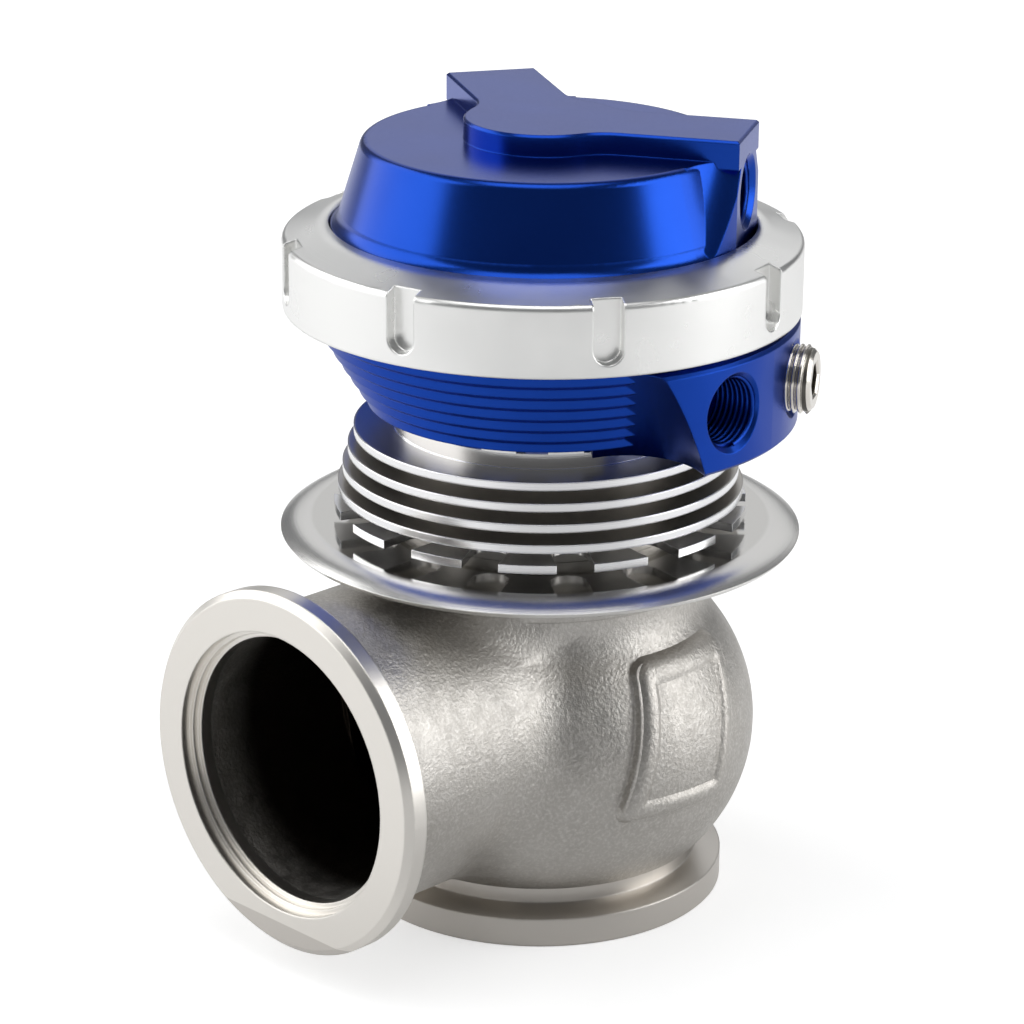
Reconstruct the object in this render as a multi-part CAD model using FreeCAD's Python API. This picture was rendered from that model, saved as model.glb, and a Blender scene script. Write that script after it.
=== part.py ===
import FreeCAD, Part
import math
import os

# External wastegate. Millimetres. The valve axis is Z, the origin is the centre of the inlet
# flange's face, and the outlet points along -Y.

# Valve body casting and its two V-band ends
inlet_rim_radius = 28.5
inlet_rim_height = 4.5
inlet_neck_radius = 24.6
inlet_neck_top = 8.3
flange_slope = 1.0
rim_chamfer = 0.35
inlet_bore_radius = 20.0
bulb_radius = 33.0
bulb_arc = 26.0
bulb_below_outlet = 5.4
bulb_wall = 4.0
body_neck_radius = 24.4
body_throat = 8.0
body_top_radius = 26.0
body_top_thickness = 6.5
cavity_rise = 20.0
deck_spigot_radius = 10.5
deck_spigot_height = 2.4
outlet_lift = 0.2
outlet_below_deck = 2.4
outlet_length = 53.3
outlet_rim_out = 4.15
outlet_rim_width = 3.4
outlet_face_chamfer = 1.0
outlet_wall = 3.2
outlet_bore_radius = 20.0
outlet_bore_depth = 28.0
outlet_throat_step = 0.8
outlet_recess_out = 1.4
outlet_recess_depth = 1.6
outlet_groove_width = 1.0
outlet_blend = 13.0
badge_across = -1.2
badge_height = 32.5
badge_width = 19.7
badge_tall = 22.3
badge_slant = 7.0
badge_rise = 1.1
badge_corner = 2.5

# Valve seat, poppet valve and its guide
seat_outer_radius = 22.0
seat_inner_radius = 18.6
seat_bottom = 7.0
seat_height = 5.0
seat_face = 2.2
valve_gap = 0.1
valve_margin = 1.6
valve_edge = 1.0
tulip_rise = 10.0
tulip_waist_radius = 9.4
tulip_waist_rise = 3.0
stem_radius = 4.0
guide_clearance = 0.04
guide_radius = 7.0
guide_boss_radius = 9.5
guide_bottom = 40.0
scraper_height = 1.6

# Heat shield and the gasket under it
gasket_thickness = 0.6
gasket_radius = 25.4
shield_thickness = 0.8
shield_radius = 39.05
shield_flat_radius = 34.5
shield_drop = 1.5

# Finned heatsink
heatsink_height = 18.3
hub_radius = 22.0
fin_count = 5
fin_first = 1.65
fin_pitch = 2.88
fin_thickness = 1.25
fin_radius_low = 31.0
fin_taper = 0.55
fin_curve = 0.05
tab_count = 14
tab_angle = -48.9
tab_slot_width = 5.5
tab_slot_floor = 23.0
notch_angle_width = 12.0
notch_depth = 1.6
notch_floor_radius = 18.9
stem_room = 0.6
bushing_height = 7.0
bushing_radius = 6.5
seal_height = 2.5
retainer_height = 0.9
retainer_gap = 0.3

# Screws: the long ones hold the heatsink to the body, the countersunk ones hold the housing
screw_count = 6
screw_circle = 15.0
screw_radius = 2.5
screw_hole_gap = 0.2
screw_head_radius = 4.25
screw_head_height = 5.0
screw_thread_depth = 8.0
screw_hex = 4.0
screw_hex_depth = 2.4
flat_head_radius = 4.6
flat_head_height = 2.6
flat_screw_length = 12.0
flat_hex = 3.0
flat_hex_depth = 1.2
o_ring_radius = 9.6
o_ring_section = 1.5
o_ring_gap = 0.03

# Lower actuator housing
step_count = 7
bowl_radius_low = 26.0
step_rise = 2.03
step_out = 1.27
step_lip = 1.25
rim_radius = 35.4
rim_height = 19.6
housing_floor = 3.2
cavity_floor_radius = 23.0
cavity_radius = 31.2
cavity_cone_height = 9.3
boss_inset = 0.2
boss_drop = 2.0
boss_top = 13.9
boss_angle = 15.0
boss_foot_angle = 24.4
boss_head_angle = 39.4
boss_cutter = 12.0
boss_edge = 0.5
port_spacing = 29.0
port_height = 6.4
port_radius = 5.2
port_depth = 9.3
port_mouth = 0.8
port_passage_radius = 3.0
plug_clearance = 0.05
plug_length = 8.5
plug_out = 3.1
plug_hex = 4.76
plug_hex_depth = 5.0
plug_chamfer = 0.5
plug_sunk = 0.6

# Diaphragm, its plates and the springs
bead_thickness = 1.3
bead_inner_radius = 29.6
clamp_inset = 1.0
diaphragm_thickness = 1.0
diaphragm_disc_radius = 22.0
lower_plate_radius = 21.4
lower_plate_height = 1.8
lower_plate_gap = 2.0
plate_chamfer = 1.0
stem_thread_radius = 3.0
plate_hole_gap = 0.05
cup_floor = 2.0
cup_corner_out = 2.0
cup_corner_up = 4.0
cup_inner_radius = 21.9
cup_wall = 1.4
cup_height = 10.0
washer_radius = 7.0
washer_height = 1.2
nut_width = 10.0
nut_height = 5.0
stem_past_nut = 1.5
spring_radius = 19.8
spring_step = 4.4
spring_wire = 3.0
spring_wire_step = 0.4
spring_turns = 4.25

# Cap
cap_flange_height = 2.5
cap_neck_radius = 31.2
cap_neck_rise = 3.6
cap_flare_radius = 29.9
cap_flare_height = 1.9
cap_flare_sag = 0.35
cap_shoulder_radius = 26.6
cap_ledge_height = 18.7
cap_ledge_round = 0.9
cap_top_height = 21.9
cap_cavity_radius = 24.0
cap_roll_radius = 29.0
cap_roll_height = 3.2
cap_roof = 3.6
hub_top_radius = 11.8
arm_angles = (30.0, 150.0)
arm_half_width = 7.0
arm_length = 30.4
arm_end_radius = 31.3
arm_foot_half_angle = 30.0
arm_cutter = 10.0
arm_blend = 8.0
arm_flat_rise = 1.8
grip_edge = 0.35
cap_port_height = 12.9
cap_port_radius = 4.85

# Locking collar and the slip ring under its lip
collar_wall = 2.9
collar_bottom = 14.9
thread_gap = 0.1
slip_ring_height = 0.5
slip_ring_gap = 0.6
slip_ring_inset = 0.6
collar_hole_gap = 0.36
collar_wall_height = 9.6
collar_round_out = 0.8
collar_round_up = 0.9
collar_height = 12.5
slot_count = 8
slot_angle = 13.3
slot_width = 4.4
slot_depth = 2.0
slot_bottom = 1.7

# Radii that follow from the sizes above
outlet_neck_radius = outlet_bore_radius + outlet_wall
outlet_rim_radius = outlet_neck_radius + outlet_rim_out
outlet_throat_radius = outlet_bore_radius - outlet_throat_step
outlet_recess_radius = outlet_bore_radius + outlet_recess_out
collar_bore_radius = rim_radius + thread_gap
collar_radius = collar_bore_radius + collar_wall
boss_radius = collar_radius - boss_inset
bead_radius = rim_radius - clamp_inset
cap_flange_radius = rim_radius - clamp_inset
slip_ring_radius = rim_radius - slip_ring_inset
slip_ring_inner = cap_neck_radius + slip_ring_gap
collar_hole_radius = cap_neck_radius + collar_hole_gap

# Heights that follow from the sizes above
outlet_height = inlet_neck_top + outlet_lift + outlet_neck_radius
body_height = outlet_height + outlet_neck_radius + outlet_below_deck
bulb_middle = outlet_height - bulb_below_outlet
shield_floor = body_height + gasket_thickness + shield_thickness
heatsink_top = shield_floor + heatsink_height
housing_bottom = heatsink_top
housing_floor_top = housing_bottom + housing_floor
housing_rim_top = housing_bottom + rim_height
cap_bottom = housing_rim_top + bead_thickness
slip_bottom = cap_bottom + cap_flange_height
collar_low = housing_bottom + collar_bottom
lip_bottom = slip_bottom + slip_ring_height
port_level = housing_bottom + port_height
seat_top = seat_bottom + seat_height
stem_shoulder = housing_floor_top + lower_plate_gap
disc_bottom = stem_shoulder + lower_plate_height
cup_bottom = disc_bottom + diaphragm_thickness
spring_seat = cup_bottom + cup_floor
nut_bottom = spring_seat + washer_height
stem_top = nut_bottom + nut_height + stem_past_nut
cap_ceiling = cap_bottom + cap_ledge_height - cap_roof

# How far a cutting tool runs past the face that it cuts, how far a rounded edge stands off its
# chamfer, and how closely two measures have to agree
past = 1.0
round_sag = 0.23
near = 0.01
origin = FreeCAD.Vector(0, 0, 0)
up = FreeCAD.Vector(0, 0, 1)


def polar(radius, angle, height=0.0):
    """The point at a radius, an angle in degrees and a height."""
    turn = math.radians(angle)
    return FreeCAD.Vector(radius * math.cos(turn), radius * math.sin(turn), height)


def turned(points):
    """A solid turned about the valve axis from an outline of (radius, height) points."""
    wire = Part.makePolygon([FreeCAD.Vector(r, 0, z) for r, z in points + points[:1]])
    return Part.Face(wire).revolve(origin, up, 360)


def arc_points(start, middle, end):
    """An edge through three (radius, height) points."""
    a, b, c = [FreeCAD.Vector(r, 0, z) for r, z in (start, middle, end)]
    return Part.Arc(a, b, c).toShape()


def bent(start, end, sag):
    """An arc between two (radius, height) points whose middle stands off the straight line."""
    run = math.dist(start, end)
    middle = ((start[0] + end[0]) / 2 + (end[1] - start[1]) / run * sag,
              (start[1] + end[1]) / 2 + (start[0] - end[0]) / run * sag)
    return arc_points(start, middle, end)


def turned_edges(edges):
    """A solid turned about the valve axis from edges that close an outline."""
    return Part.Face(Part.Wire(Part.__sortEdges__(edges))).revolve(origin, up, 360)


def straight(start, end):
    """A straight edge between two (radius, height) points."""
    a, b = [FreeCAD.Vector(r, 0, z) for r, z in (start, end)]
    return Part.LineSegment(a, b).toShape()


def disc(radius, bottom, top):
    """A cylinder on the valve axis."""
    return Part.makeCylinder(radius, top - bottom, FreeCAD.Vector(0, 0, bottom), up)


def ring(outer, inner, bottom, top):
    """A plain ring on the valve axis."""
    return disc(outer, bottom, top).cut(disc(inner, bottom - past, top + past))


def round_bar(start, direction, radius, length):
    """A cylinder from a point along a direction."""
    return Part.makeCylinder(radius, length, start, direction)


def spun(shape, angle):
    """A copy turned about the valve axis."""
    copy = shape.copy()
    copy.rotate(origin, up, angle)
    return copy


def pattern(shape, count, first_angle=0.0):
    """Copies of a shape, evenly spaced about the valve axis."""
    return [spun(shape, first_angle + i * 360.0 / count) for i in range(count)]


def hexagon(width, bottom, height):
    """A hexagonal prism on the valve axis, given its width across the flats."""
    corner = width / math.sqrt(3)
    points = [polar(corner, 60 * i, bottom) for i in range(7)]
    return Part.Face(Part.makePolygon(points)).extrude(up * height)


def save(name, shape):
    """Write one piece, or one group of like pieces, as a STEP file."""
    if isinstance(shape, list):
        shape = Part.makeCompound(shape)
    shape.exportStep("parts/" + name + ".step")


def bulb_half_width(height, shrink=0.0):
    """The casting's outer radius at a height, or its inner one when shrunk by the wall."""
    reach = bulb_arc - shrink
    return bulb_radius - bulb_arc + math.sqrt(reach ** 2 - (height - bulb_middle) ** 2)


def casting():
    """The turned outside: V-band rim, machined neck, bulb, and the throat that leads to the top."""
    spine = bulb_radius - bulb_arc
    throat_centre = body_neck_radius + body_throat
    reach = bulb_arc + body_throat
    climb = math.sqrt(reach ** 2 - (throat_centre - spine) ** 2)
    meet = (spine + (throat_centre - spine) * bulb_arc / reach, bulb_middle + climb * bulb_arc / reach)
    throat_end = (body_neck_radius, bulb_middle + climb)
    turn = (math.pi + math.atan2(meet[1] - throat_end[1], meet[0] - throat_centre) % (2 * math.pi)) / 2
    throat_mid = (throat_centre + body_throat * math.cos(turn),
                  throat_end[1] + body_throat * math.sin(turn))
    bulb_low = (bulb_half_width(inlet_neck_top), inlet_neck_top)
    outline = [throat_end, (body_neck_radius, body_height), (0, body_height), (0, 0),
               (inlet_rim_radius - rim_chamfer, 0), (inlet_rim_radius, rim_chamfer),
               (inlet_rim_radius, inlet_rim_height), (inlet_neck_radius, inlet_rim_height + flange_slope),
               (inlet_neck_radius, inlet_neck_top), bulb_low]
    edges = [straight(a, b) for a, b in zip(outline, outline[1:])]
    edges.append(arc_points(bulb_low, (bulb_radius, bulb_middle), meet))
    edges.append(arc_points(meet, throat_mid, throat_end))
    return turned_edges(edges)


def bulb_solid(shrink, low, high):
    """The barrel of the casting between two heights, as one turned arc."""
    low_radius = bulb_half_width(low, shrink)
    high_radius = bulb_half_width(high, shrink)
    side = arc_points((low_radius, low), (bulb_radius - shrink, bulb_middle), (high_radius, high))
    return turned_edges([straight((0, low), (low_radius, low)), side,
                         straight((high_radius, high), (0, high)), straight((0, high), (0, low))])


def outlet_outline():
    """The outlet tube and its V-band rim, as (radius, distance from the valve axis)."""
    rim_back = outlet_length - outlet_rim_width
    return [(0, 0), (outlet_neck_radius, 0), (outlet_neck_radius, rim_back - flange_slope),
            (outlet_rim_radius, rim_back), (outlet_rim_radius, outlet_length - outlet_face_chamfer),
            (outlet_rim_radius - outlet_face_chamfer, outlet_length), (0, outlet_length)]


def outlet_bore_outline():
    """The recess in the outlet's face, the groove at its foot, the bore, and the cast throat behind it."""
    recess = outlet_length - outlet_recess_depth
    groove = outlet_bore_radius + (outlet_recess_radius - outlet_bore_radius) / 2
    mouth = recess - outlet_groove_width
    return [(0, 0), (outlet_throat_radius, 0), (outlet_throat_radius, mouth - outlet_bore_depth),
            (outlet_bore_radius, mouth - outlet_bore_depth), (outlet_bore_radius, mouth),
            (groove, mouth), (groove, recess), (outlet_recess_radius, recess),
            (outlet_recess_radius, outlet_length + past), (0, outlet_length + past)]


def laid_to_outlet(shape):
    """Turn a shape made about Z so that it lies along the outlet's axis."""
    shape.rotate(origin, FreeCAD.Vector(1, 0, 0), 90)
    shape.translate(FreeCAD.Vector(0, 0, outlet_height))
    return shape


def badge_pad():
    """The raised plain pad cast on the side of the bulb, with slanted sides."""
    low, high = badge_height - badge_tall / 2, badge_height + badge_tall / 2
    left, right = badge_across - badge_width / 2, badge_across + badge_width / 2
    lean = badge_slant / 2
    points = [FreeCAD.Vector(0, y, z) for y, z in
              ((left - lean, low), (right - lean, low), (right + lean, high), (left + lean, high))]
    plan = Part.Face(Part.makePolygon(points + points[:1]))
    block = plan.extrude(FreeCAD.Vector(bulb_radius + badge_rise + past, 0, 0))
    corners = [e for e in block.Edges if abs(e.tangentAt(e.FirstParameter).x) > 1 - near]
    block = block.makeFillet(badge_corner, corners)
    return block.common(bulb_solid(-badge_rise, inlet_neck_top, 2 * bulb_middle - inlet_neck_top))


def is_outlet_seam(edge):
    """True for the free curves where the outlet tube leaves the bulb."""
    return isinstance(edge.Curve, Part.BSplineCurve) and edge.BoundBox.YMax < 0


def valve_body():
    body = casting().fuse(laid_to_outlet(turned(outlet_outline()))).removeSplitter()
    body = body.makeFillet(outlet_blend, [edge for edge in body.Edges if is_outlet_seam(edge)])
    top = disc(body_top_radius, body_height - body_top_thickness, body_height)
    spigot = disc(deck_spigot_radius, body_height, body_height + deck_spigot_height)
    body = body.fuse([top, spigot, badge_pad()])
    body = body.cut(bulb_solid(bulb_wall, seat_top, bulb_middle + cavity_rise))
    body = body.cut(laid_to_outlet(turned(outlet_bore_outline())))
    body = body.fuse(disc(guide_boss_radius, guide_bottom, body_height))
    guide_room = disc(guide_radius, guide_bottom - past, body_height + deck_spigot_height + past)
    body = body.cut([disc(inlet_bore_radius, -past, seat_bottom),
                     disc(seat_outer_radius, seat_bottom, seat_top), guide_room])
    hole = round_bar(polar(screw_circle, 0, body_height - screw_thread_depth - past), up, screw_radius,
                     screw_thread_depth + 2 * past)
    return body.cut(pattern(hole, screw_count)).removeSplitter()


def valve_seat():
    """A ring pressed into the casting, with a 45 degree face for the valve."""
    mouth = seat_inner_radius + seat_face
    return turned([(seat_inner_radius, seat_bottom), (seat_outer_radius, seat_bottom),
                   (seat_outer_radius, seat_top), (mouth, seat_top),
                   (seat_inner_radius, seat_top - seat_face)])


def poppet_valve():
    """Head, tulip neck, stem and threaded end, in one piece."""
    face_foot = seat_top - seat_face + valve_gap
    head_radius = seat_inner_radius + seat_face - valve_gap
    under = seat_inner_radius - 2 * valve_gap
    head_top = seat_top + valve_margin
    stem_start = head_top + tulip_rise
    tulip = arc_points((head_radius - valve_edge, head_top),
                       (tulip_waist_radius, head_top + tulip_waist_rise), (stem_radius, stem_start))
    outline = [(0, face_foot), (under, face_foot), (head_radius, seat_top + valve_gap),
               (head_radius, head_top), (head_radius - valve_edge, head_top)]
    edges = [straight(a, b) for a, b in zip(outline, outline[1:])]
    tail = [(stem_radius, stem_start), (stem_radius, stem_shoulder), (stem_thread_radius, stem_shoulder),
            (stem_thread_radius, stem_top), (0, stem_top), (0, face_foot)]
    edges += [tulip] + [straight(a, b) for a, b in zip(tail, tail[1:])]
    return turned_edges(edges)


def valve_guide():
    return ring(guide_radius, stem_radius + guide_clearance, guide_bottom, body_height)


def stem_scraper():
    """The ring above the guide that wipes soot off the stem."""
    return ring(guide_radius, stem_radius + guide_clearance, body_height, body_height + scraper_height)


def shield_gasket():
    """The thin ring between the casting and the shield, pierced for the spigot and the screws."""
    plate = ring(gasket_radius, deck_spigot_radius + screw_hole_gap, body_height,
                 body_height + gasket_thickness)
    hole = round_bar(polar(screw_circle, 0, body_height - past), up, screw_radius + screw_hole_gap,
                     gasket_thickness + 2 * past)
    for pierced in pattern(hole, screw_count):
        plate = plate.cut(pierced)
    return plate


def heat_shield():
    """A spun disc with a flat floor and a lip that curls down at the rim."""
    top = shield_floor
    low = shield_floor - shield_thickness
    run = shield_radius - shield_flat_radius
    curl = (run ** 2 + shield_drop ** 2) / (2 * shield_drop)
    slope = math.asin(run / curl)
    half = slope / 2
    outer = [(shield_flat_radius + reach * math.sin(part), top - curl + reach * math.cos(part))
             for reach, part in ((curl, 0), (curl, half), (curl, slope))]
    inner_reach = curl - shield_thickness
    inner = [(shield_flat_radius + inner_reach * math.sin(part),
              top - curl + inner_reach * math.cos(part)) for part in (0, half, slope)]
    hole = deck_spigot_radius + screw_hole_gap
    edges = [straight((hole, low), (hole, top)), straight((hole, top), outer[0]), arc_points(*outer),
             straight(outer[2], inner[2]), arc_points(*inner), straight(inner[0], (hole, low))]
    plate = turned_edges(edges)
    drill = round_bar(polar(screw_circle, 0, low - past), up, screw_radius + screw_hole_gap,
                      shield_thickness + 2 * past)
    for pierced in pattern(drill, screw_count):
        plate = plate.cut(pierced)
    return plate


def fin_radius(step):
    """The fins get smaller towards the top, a little faster each time."""
    return fin_radius_low - fin_taper * step - fin_curve * step ** 2


def tab_slot():
    """One end-milled slot through the lowest fin, with a round inner end."""
    length = fin_radius_low + past - tab_slot_floor - tab_slot_width / 2
    start = tab_slot_floor + tab_slot_width / 2
    bottom = shield_floor + fin_first - past / 2
    height = fin_thickness + past
    block = Part.makeBox(length, tab_slot_width, height,
                         FreeCAD.Vector(start, -tab_slot_width / 2, bottom))
    return block.fuse(round_bar(FreeCAD.Vector(start, 0, bottom), up, tab_slot_width / 2, height))


def ring_notch():
    """One square notch in the top edge of the neck, which leaves little metal to carry heat."""
    half = math.radians(notch_angle_width / 2)
    far = (hub_radius + past) / math.cos(half)
    corners = [polar(0, 0), polar(far, -notch_angle_width / 2), polar(far, notch_angle_width / 2),
               polar(0, 0)]
    wedge = Part.Face(Part.makePolygon(corners)).extrude(up * (notch_depth + past))
    wedge.translate(up * (heatsink_top - notch_depth))
    return wedge.cut(disc(notch_floor_radius, heatsink_top - notch_depth - past, heatsink_top + 2 * past))


def heatsink():
    """One turned piece: hub, fins and notched neck."""
    body = disc(hub_radius, shield_floor, heatsink_top)
    for step in range(fin_count):
        low = shield_floor + fin_first + step * fin_pitch
        body = body.fuse(disc(fin_radius(step), low, low + fin_thickness))
    slots = pattern(tab_slot(), tab_count, tab_angle + 180.0 / tab_count)
    notches = pattern(ring_notch(), tab_count, tab_angle)
    body = body.cut(Part.makeCompound(slots)).cut(Part.makeCompound(notches))
    spigot_room = body_height + deck_spigot_height + screw_hole_gap
    seal_floor = heatsink_top - retainer_height - seal_height
    body = body.cut(disc(deck_spigot_radius + screw_hole_gap, shield_floor - past, spigot_room))
    body = body.cut(disc(stem_radius + stem_room, shield_floor, heatsink_top + past))
    body = body.cut(disc(bushing_radius, seal_floor - bushing_height, heatsink_top + past))
    head_seat = heatsink_top - screw_head_height - screw_hole_gap
    shank = round_bar(polar(screw_circle, 0, shield_floor - past), up, screw_radius + screw_hole_gap,
                      heatsink_height)
    head = round_bar(polar(screw_circle, 0, head_seat), up, screw_head_radius + screw_hole_gap,
                     screw_head_height + 2 * past)
    body = body.cut(Part.makeCompound(pattern(shank, screw_count) + pattern(head, screw_count)))
    depth = flat_screw_length - housing_floor
    tapped = round_bar(polar(screw_circle, 0, heatsink_top - depth - past), up, screw_radius,
                       depth + 2 * past)
    body = body.cut(Part.makeCompound(pattern(tapped, screw_count, 180.0 / screw_count)))
    return body.cut(o_ring_groove())


def o_ring_groove():
    half = o_ring_section / 2
    return ring(o_ring_radius + half, o_ring_radius - half, heatsink_top - o_ring_section,
                heatsink_top + past)


def housing_o_ring():
    """Sits in the heatsink's top face under the housing floor."""
    return Part.makeTorus(o_ring_radius, o_ring_section / 2 - o_ring_gap,
                          FreeCAD.Vector(0, 0, heatsink_top - o_ring_section / 2), up)


def heatsink_screws():
    """Socket head screws from the neck down into the casting."""
    seat = heatsink_top - screw_head_height - screw_hole_gap
    tip = body_height - screw_thread_depth
    shank = disc(screw_radius, tip, seat)
    head = disc(screw_head_radius, seat, seat + screw_head_height)
    screw = shank.fuse(head)
    screw = screw.cut(hexagon(screw_hex, seat + screw_head_height - screw_hex_depth,
                              screw_hex_depth + past))
    screw.translate(polar(screw_circle, 0))
    return pattern(screw, screw_count)


def housing_screws():
    """Countersunk screws, flush with the housing floor."""
    top = housing_floor_top
    tip = top - flat_screw_length
    cone = turned([(0, top - flat_head_height), (screw_radius, top - flat_head_height),
                   (flat_head_radius, top), (0, top)])
    screw = disc(screw_radius, tip, top - flat_head_height).fuse(cone)
    screw = screw.cut(hexagon(flat_hex, top - flat_hex_depth, flat_hex_depth + past))
    screw.translate(polar(screw_circle, 0))
    return pattern(screw, screw_count, 180.0 / screw_count)


def stem_bushing():
    """The plain bearing that guides the stem at the top of the heatsink."""
    top = heatsink_top - retainer_height - seal_height
    return ring(bushing_radius, stem_radius + guide_clearance, top - bushing_height, top)


def stem_seal():
    top = heatsink_top - retainer_height
    return ring(bushing_radius, stem_radius + guide_clearance, top - seal_height, top)


def seal_retainer():
    return ring(bushing_radius, stem_radius + retainer_gap, heatsink_top - retainer_height, heatsink_top)


def bowl_outline():
    """The housing's outside, from its floor up the turned steps to the threaded rim."""
    points = [(0, housing_bottom), (bowl_radius_low, housing_bottom)]
    for step in range(step_count):
        low = housing_bottom + step * step_rise
        radius = bowl_radius_low + step * step_out
        points.append((radius, low + step_lip))
        points.append((radius + step_out, low + step_rise))
    points += [(rim_radius, housing_bottom + step_count * step_rise), (rim_radius, housing_rim_top)]
    return points + [(0, housing_rim_top)]


def cavity_outline():
    """The room for the diaphragm inside the housing: a cone that opens into a straight bore."""
    return [(0, housing_floor_top), (cavity_floor_radius, housing_floor_top),
            (cavity_radius, housing_floor_top + cavity_cone_height),
            (cavity_radius, housing_rim_top + past), (0, housing_rim_top + past)]


def sector(angle, foot_half, head_half, bottom, top, reach):
    """A block between two slanted sides, wide at one height and narrower at the other."""
    wires = []
    for half, height in ((foot_half, bottom), (head_half, top)):
        far = reach / math.cos(math.radians(half))
        points = [polar(0, 0, height), polar(far, angle - half, height), polar(far, angle + half, height)]
        wires.append(Part.makePolygon(points + points[:1]))
    return Part.makeLoft(wires, True, True)


def slanted_cutter(radius, edge_radius, wall_low, wall_high, edge_low, edge_high, bottom, top, side):
    """A round cutter whose side passes through a slanted edge and just meets the wall behind it.

    Gives the cutter, three times as long as the stretch that it cuts, and its angles at the two heights.
    """
    ends = []
    for wall, edge, height in ((wall_low, edge_low, bottom), (wall_high, edge_high, top)):
        centre = wall + radius
        away = math.sqrt(max(radius ** 2 - (centre - edge_radius) ** 2, 0.0))
        shift = math.degrees(math.atan2(away, centre))
        ends.append((polar(centre, edge + side * shift, height), edge + side * shift))
    path = ends[1][0].sub(ends[0][0])
    start = ends[0][0].sub(path)
    return Part.makeCylinder(radius, path.Length * 3, start, path), ends[0][1], ends[1][1]


def boss_block():
    """The boss that carries the ports: part of a larger cylinder, run out into the steps."""
    bottom = housing_bottom - boss_drop
    top = housing_bottom + boss_top
    slope = step_out / step_rise
    wall_low = bowl_radius_low - boss_drop * slope + step_out / 2
    wall_high = bowl_radius_low + boss_top * slope + step_out / 2
    cutters = []
    halves = []
    for side in (-1, 1):
        edge_low = side * boss_foot_angle
        edge_high = side * boss_head_angle
        cutter, low_angle, high_angle = slanted_cutter(
            boss_cutter, boss_radius, wall_low, wall_high, edge_low, edge_high, bottom, top, side)
        cutters.append(cutter)
        halves = [abs(low_angle), abs(high_angle)]
    shell = ring(boss_radius, hub_radius + step_out, bottom, top)
    rims = [e for e in shell.Edges
            if abs(e.BoundBox.XMax - boss_radius) < near and e.BoundBox.ZLength < near]
    shell = shell.makeChamfer(boss_edge, rims)
    block = shell.common(sector(0, halves[0], halves[1], bottom, top, boss_radius + past))
    for cutter in cutters:
        block = block.cut(cutter)
    return block


def port_hole(radius, outer, depth, height, angle):
    """A radial hole with a countersunk mouth, ready to be cut."""
    inner = outer - depth
    tool = turned([(0, inner), (radius, inner), (radius, outer - port_mouth),
                   (radius + port_mouth + past, outer + past), (0, outer + past)])
    tool.rotate(origin, FreeCAD.Vector(0, 1, 0), 90)
    tool.translate(FreeCAD.Vector(0, 0, height))
    return spun(tool, angle)


def housing_port_angles():
    """The two ports of each boss. The second boss mirrors the first."""
    pair = [boss_angle - port_spacing / 2, boss_angle + port_spacing / 2]
    return pair + [180 - angle for angle in pair]


def lower_housing():
    body = turned(bowl_outline())
    block = boss_block()
    for angle in (boss_angle, 180 - boss_angle):
        body = body.fuse(spun(block, angle))
    for angle in housing_port_angles():
        passage = round_bar(polar(cavity_floor_radius - past, angle, port_level), polar(1, angle),
                            port_passage_radius, boss_radius - port_depth - cavity_floor_radius + 2 * past)
        body = body.cut([port_hole(port_radius, boss_radius, port_depth, port_level, angle), passage])
    body = body.cut(turned(cavity_outline()))
    body = body.cut(disc(stem_radius + stem_room, housing_bottom - past, housing_floor_top + past))
    top = housing_floor_top
    sink = turned([(0, housing_bottom - past), (screw_radius + screw_hole_gap, housing_bottom - past),
                   (screw_radius + screw_hole_gap, top - flat_head_height), (flat_head_radius, top),
                   (flat_head_radius, top + past), (0, top + past)])
    sink.translate(polar(screw_circle, 0))
    return body.cut(Part.makeCompound(pattern(sink, screw_count, 180.0 / screw_count)))


def port_plug(radius, length, outer, height, angle):
    """A threaded plug with a hexagon socket, its outer end at a given distance from the axis."""
    body = disc(radius, outer - length, outer)
    ends = [e for e in body.Edges if e.BoundBox.ZLength < near]
    body = body.makeChamfer(plug_chamfer, ends)
    body = body.cut(hexagon(plug_hex, outer - plug_hex_depth, plug_hex_depth + past))
    body.rotate(origin, FreeCAD.Vector(0, 1, 0), 90)
    body.translate(FreeCAD.Vector(0, 0, height))
    return spun(body, angle)


def diaphragm():
    """Moulded rubber: a clamped bead, a rolled side and the disc between the plates."""
    low = disc_bottom
    high = housing_rim_top
    thick = diaphragm_thickness
    points = [(stem_thread_radius + plate_hole_gap, low), (diaphragm_disc_radius, low),
              (diaphragm_disc_radius + thick, low + thick / 2), (bead_inner_radius, high),
              (bead_radius, high), (bead_radius, high + bead_thickness),
              (bead_inner_radius - thick, high + bead_thickness), (diaphragm_disc_radius, low + thick),
              (stem_thread_radius + plate_hole_gap, low + thick)]
    return turned(points)


def lower_plate():
    hole = stem_thread_radius + plate_hole_gap
    bottom = stem_shoulder
    return turned([(hole, bottom), (lower_plate_radius - plate_chamfer, bottom),
                   (lower_plate_radius, bottom + plate_chamfer), (lower_plate_radius, disc_bottom),
                   (hole, disc_bottom)])


def piston_cup():
    """The pressed cup that carries the springs."""
    hole = stem_thread_radius + plate_hole_gap
    outer = cup_inner_radius + cup_wall
    return turned([(hole, cup_bottom), (outer - cup_corner_out, cup_bottom),
                   (outer, cup_bottom + cup_corner_up), (outer, cup_bottom + cup_height),
                   (cup_inner_radius, cup_bottom + cup_height),
                   (cup_inner_radius, spring_seat), (hole, spring_seat)])


def stem_washer():
    return ring(washer_radius, stem_thread_radius + plate_hole_gap, spring_seat, nut_bottom)


def stem_nut():
    nut = hexagon(nut_width, nut_bottom, nut_height)
    return nut.cut(disc(stem_thread_radius, nut_bottom - past, nut_bottom + nut_height + past))


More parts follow.
